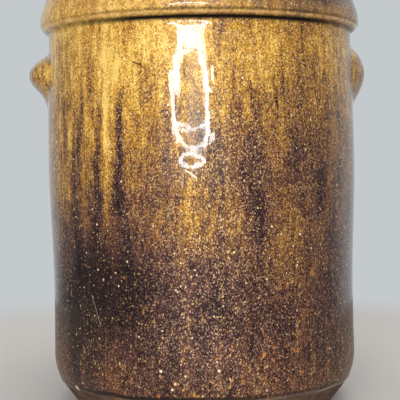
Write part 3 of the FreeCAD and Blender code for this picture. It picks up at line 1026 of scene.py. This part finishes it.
def buildFloor():
    material, tree, shader = newMaterial("paleFloor")
    wallColour = srgb(*studio["wallColour"])
    feedAll(tree, shader, {"Base Color": srgb(*studio["floorColour"]), "Roughness": studio["floorRoughness"]})
    x, y = splitXyz(tree, tree.nodes.new("ShaderNodeTexCoord").outputs["Object"])[:2]
    reach = lengthOf(x, y)
    straight, mirrored = seenFlows(tree)
    glow = addNode(tree, "ShaderNodeEmission", {"Color": wallColour, "Strength": 1.0})
    mixed = addNode(tree, "ShaderNodeMixShader", {0: reach.ramp(*studio["floorReach"]) * straight,
                                                  1: shader.outputs[0], 2: glow.outputs[0]})
    # in the glaze the near floor shows dimmer than it is, and beyond the table's edge there is only room
    beyond = reach.ramp(*studio["tableEdge"])
    shown = mixColours(tree, beyond, srgb(*studio["mirroredFloor"]), wallColour)
    strength = beyond * (roomBrightness(x / reach, y / reach) - 1.0) + 1.0
    dim = addNode(tree, "ShaderNodeEmission", {"Color": shown, "Strength": strength})
    mixed = addNode(tree, "ShaderNodeMixShader", {0: mirrored, 1: mixed.outputs[0], 2: dim.outputs[0]})
    output = next(made for made in tree.nodes if made.type == "OUTPUT_MATERIAL")
    tree.links.new(mixed.outputs[0], output.inputs[0])
    half = studio["floorHalf"]
    corners = [(-half, -half, 0.0), (half, -half, 0.0), (half, half, 0.0), (-half, half, 0.0)]
    floor = meshObject("paleFloor", corners, faces=[(0, 1, 2, 3)])
    floor.data.materials.append(material)


def buildWorld():
    # an even room for soft light, with a pale wall behind the jar and a dimmer room in front of it
    world = bpy.data.worlds.new("softRoom")
    world.use_nodes = True
    tree = world.node_tree
    room = tree.nodes["Background"]
    feedAll(tree, room, {0: srgb(*studio["roomLight"]), 1: studio["roomStrength"]})
    towardsX, towardsY = splitXyz(tree, tree.nodes.new("ShaderNodeTexCoord").outputs["Generated"])[:2]
    straight, mirrored = seenFlows(tree)
    brightness = straight.calc("MAXIMUM", roomBrightness(towardsX, towardsY))
    wallColour = srgb(*studio["wallColour"])
    wall = addNode(tree, "ShaderNodeBackground", {"Color": wallColour, "Strength": brightness})
    seen = straight.calc("MAXIMUM", mirrored)
    mixed = addNode(tree, "ShaderNodeMixShader", {0: seen, 1: room.outputs[0], 2: wall.outputs[0]})
    tree.links.new(mixed.outputs[0], tree.nodes["World Output"].inputs[0])
    bpy.context.scene.world = world


lamps = {
    # strip lamps that outline a tall hollow shape, with a ring below it: places along each line, as a
    # side angle and a height angle from the jar's front, with the width between two places, in degrees
    "strips": (
        (-12.0, 11.0, 7.0, -12.0, 13.2), (-7.0, 11.5, 4.0, -7.0, 12.1), (-2.2, 11.0, 8.0, -2.2, 13.2),
        (-12.3, 11.1, 1.5, -16.4, 9.9, 2.4, -18.7, 8.7, 5.1, -18.9, 6.8),
        (-20.0, 6.8, 2.1, -20.5, 5.7, 1.9, -18.8, 3.7, 1.0, -16.7, 2.7, 0.56, -11.0, 1.86, 0.45,
         -4.6, 1.6, 0.46, 1.9, 2.05),
        (-1.3, 11.1, 0.8, 2.2, 10.1, 1.8, 3.5, 8.9, 2.6, 3.6, 7.4, 2.0, 4.9, 6.0, 2.4, 4.2, 3.1,
         1.0, 1.9, 2.0),
        (-19.0, 4.0, 0.38, -8.0, 3.6, 0.38, 5.0, 4.0),
        (-16.6, -0.05, 0.65, -13.3, 0.7, 0.44, -6.8, 0.96, 0.45, -0.3, 0.77, 0.64, 3.2, 0.0, 0.65,
         -0.5, -0.78, 0.49, -6.9, -1.04, 0.49, -13.4, -0.82, 0.7, -16.6, -0.05),
        (-12.7, -1.7, 0.3, -8.5, -2.3, 0.35, -3.5, -3.3),
        (8.7, 9.9, 1.5, 8.5, 8.5), (6.2, 8.0, 4.0, 6.1, 7.4), (5.6, 2.8, 0.6, 9.2, 2.8)),
    "from": (0.0, -0.085, 0.146),  # where the angles are measured from: the jar's front
    "distance": 1.5,
    "radiance": 31.0,
    "stripWidening": 1.3,
    # a dim glow inside the shape, a broad soft key behind it, and a dim tall strip below: side angle,
    # height angle, distance, width, height, radiance and form
    "soft": (("softGlow", -2.5, 5.8, 1.55, 0.46, 0.34, 3.0, "ELLIPSE"),
             ("softKey", -5.0, 4.0, 1.7, 1.6, 2.0, 0.86, "ELLIPSE"),
             ("tallStrip", -14.5, -8.0, 1.6, 0.06, 0.36, 3.2, "RECTANGLE")),
    "topPlace": (0.1, -0.4, 1.9),
    "topAim": (0.0, 0.0, 0.1),
    "topSize": 1.2,
    "topPower": 11.0,
}


def buildLamp(name, place, target, width, height, radiance, across=(1, 0, 0), shape="RECTANGLE"):
    lamp = bpy.data.lights.new(name, "AREA")
    lamp.shape = shape
    lamp.size, lamp.size_y = width, height
    lamp.energy = radiance * math.pi * width * height * (math.pi / 4 if shape == "ELLIPSE" else 1.0)
    built = newObject(name, lamp)
    ahead = (Vector(target) - Vector(place)).normalized()
    side = Vector(across) - ahead * Vector(across).dot(ahead)
    side.normalize()
    turned = Matrix((side, (-ahead).cross(side), -ahead)).transposed().to_4x4()
    built.matrix_world = Matrix.Translation(place) @ turned
    built.visible_camera = False


def lampPlace(side, up, distance):
    a, e = math.radians(side), math.radians(up)
    ray = Vector((math.sin(a) * math.cos(e), -math.cos(a) * math.cos(e), math.sin(e)))
    return Vector(lamps["from"]) + ray * distance


def buildLamps():
    distance = lamps["distance"]
    strips = [line[k:k + 5] for line in lamps["strips"] for k in range(0, len(line) - 2, 3)]
    for k, (side, up, width, sideEnd, upEnd) in enumerate(strips):
        start, end = lampPlace(side, up, distance), lampPlace(sideEnd, upEnd, distance)
        size = math.radians(width) * distance * lamps["stripWidening"]
        buildLamp("strip%02d" % k, (start + end) / 2, lamps["from"], (end - start).length, size,
                  lamps["radiance"], end - start)
    for name, side, up, away, width, height, radiance, shape in lamps["soft"]:
        buildLamp(name, lampPlace(side, up, away), lamps["from"], width, height, radiance, shape=shape)
    top = lamps["topSize"]
    radiance = lamps["topPower"] / (math.pi * top * top)
    buildLamp("softTop", lamps["topPlace"], lamps["topAim"], top, top, radiance)


def buildCamera():
    data = bpy.data.cameras.new("camera")
    data.lens = studio["lens"]
    data.sensor_width = studio["sensor"]
    data.clip_start = studio["nearest"]
    camera = newObject("camera", data)
    aim = Matrix.Rotation(math.radians(90.0 - studio["pitch"]), 4, "X")
    aim = aim @ Matrix.Rotation(math.radians(-studio["roll"]), 4, "Z")
    camera.matrix_world = Matrix.Translation(studio["cameraPlace"]) @ aim
    bpy.context.scene.camera = camera


buildFloor()
buildWorld()
buildLamps()
buildCamera()
bpy.context.scene.view_settings.view_transform = "Standard"
print("stage set")
